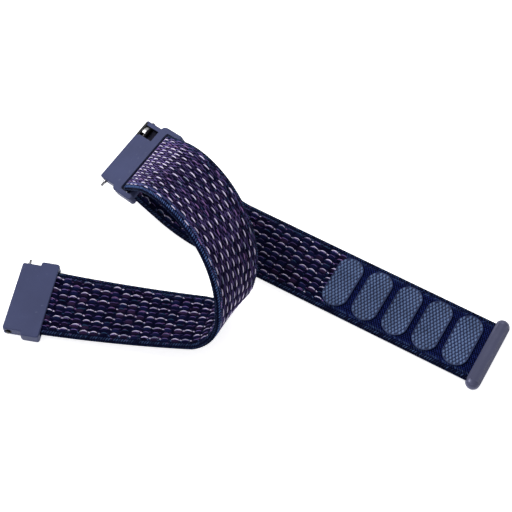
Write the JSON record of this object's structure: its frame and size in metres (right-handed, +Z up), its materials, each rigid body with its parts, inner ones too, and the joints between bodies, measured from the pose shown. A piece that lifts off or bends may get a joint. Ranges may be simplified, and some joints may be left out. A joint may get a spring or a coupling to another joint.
{
  "type": "watch band",
  "caption": "Woven hook-and-loop band for a fitness tracker, with two quick-release metal connectors, folded through one connector and laid open.",
  "frame": {"origin": "on the table, under the middle of the object's bounding box", "axes": "+X along the flat tail towards its tip bar, +Y across the tail, +Z up"},
  "size_m": [0.1296, 0.0736, 0.0338],
  "materials": {
    "strap_weave": "woven",
    "hook_pad": "hook tape",
    "connector_metal": "satin",
    "tip_bar": "satin",
    "spring_bar_steel": "satin"
  },
  "bodies": {
    "tail": {"strap_tail_root": "strap_weave"},
    "tail_end": {"strap_tail_end": "strap_weave", "hook_pad_1": "hook_pad", "hook_pad_2": "hook_pad", "hook_pad_3": "hook_pad", "hook_pad_4": "hook_pad", "hook_pad_5": "hook_pad", "tip_bar": "tip_bar"},
    "front": {"strap_front": "strap_weave"},
    "turn": {"strap_turn": "strap_weave"},
    "fixed_end": {"strap_short": "strap_weave", "connector_a": "connector_metal"},
    "connector_b": {"connector_b": "connector_metal"},
    "spring_bar_a": {"bar_barrel_a": "spring_bar_steel", "bar_fixed_pin_a": "spring_bar_steel", "bar_coil_a": "spring_bar_steel"},
    "spring_bar_b": {"bar_barrel_b": "spring_bar_steel", "bar_fixed_pin_b": "spring_bar_steel", "bar_coil_b": "spring_bar_steel"},
    "release_a": {"bar_plunger_a": "spring_bar_steel", "release_lever_a": "spring_bar_steel"},
    "release_b": {"bar_plunger_b": "spring_bar_steel", "release_lever_b": "spring_bar_steel"}
  },
  "joints": [
    {"name": "tail_flex", "type": "hinge", "parent": "tail", "child": "tail_end", "pos_m": [0.0046, 0.02362, 0.00141], "axis": [0, -1, 0], "range_deg": [-30, 40], "stiffness_Nm_per_rad": 0.02},
    {"name": "tail_fold", "type": "hinge", "parent": "tail", "child": "front", "pos_m": [-0.04436, 0.02321, 0.01519], "axis": [0.18, 0.95, 0.255], "range_deg": [-16, 12], "stiffness_Nm_per_rad": 0.08},
    {"name": "connector_b_swivel", "type": "hinge", "parent": "tail", "child": "connector_b", "pos_m": [-0.04436, 0.02321, 0.01519], "axis": [0.18, 0.95, 0.255], "range_deg": [-25, 25]},
    {"name": "crest_flex", "type": "hinge", "parent": "front", "child": "turn", "pos_m": [-0.01612, 0.00979, 0.03008], "axis": [0.3624, 0.8947, -0.261], "range_deg": [-30, 24], "stiffness_Nm_per_rad": 0.05},
    {"name": "hairpin_flex", "type": "hinge", "parent": "turn", "child": "fixed_end", "pos_m": [-0.00401, -0.00475, 0.00921], "axis": [-0.1243, 0.8727, -0.4721], "range_deg": [-40, 35], "stiffness_Nm_per_rad": 0.04},
    {"name": "spring_bar_spin_a", "type": "hinge", "parent": "fixed_end", "child": "spring_bar_a", "pos_m": [-0.05987, -0.02601, 0.00163], "axis": [-0.3284, 0.9445, 0], "range_deg": [-45, 0]},
    {"name": "quick_release_a", "type": "slide", "parent": "spring_bar_a", "child": "release_a", "axis": [-0.3284, 0.9445, 0], "range_m": [0, 0.0008], "stiffness_N_per_m": 800},
    {"name": "spring_bar_spin_b", "type": "hinge", "parent": "connector_b", "child": "spring_bar_b", "pos_m": [-0.05497, 0.02596, 0.01243], "axis": [-0.18, -0.95, -0.255], "range_deg": [-45, 0]},
    {"name": "quick_release_b", "type": "slide", "parent": "spring_bar_b", "child": "release_b", "axis": [-0.18, -0.95, -0.255], "range_m": [0, 0.0008], "stiffness_N_per_m": 800}
  ]
}
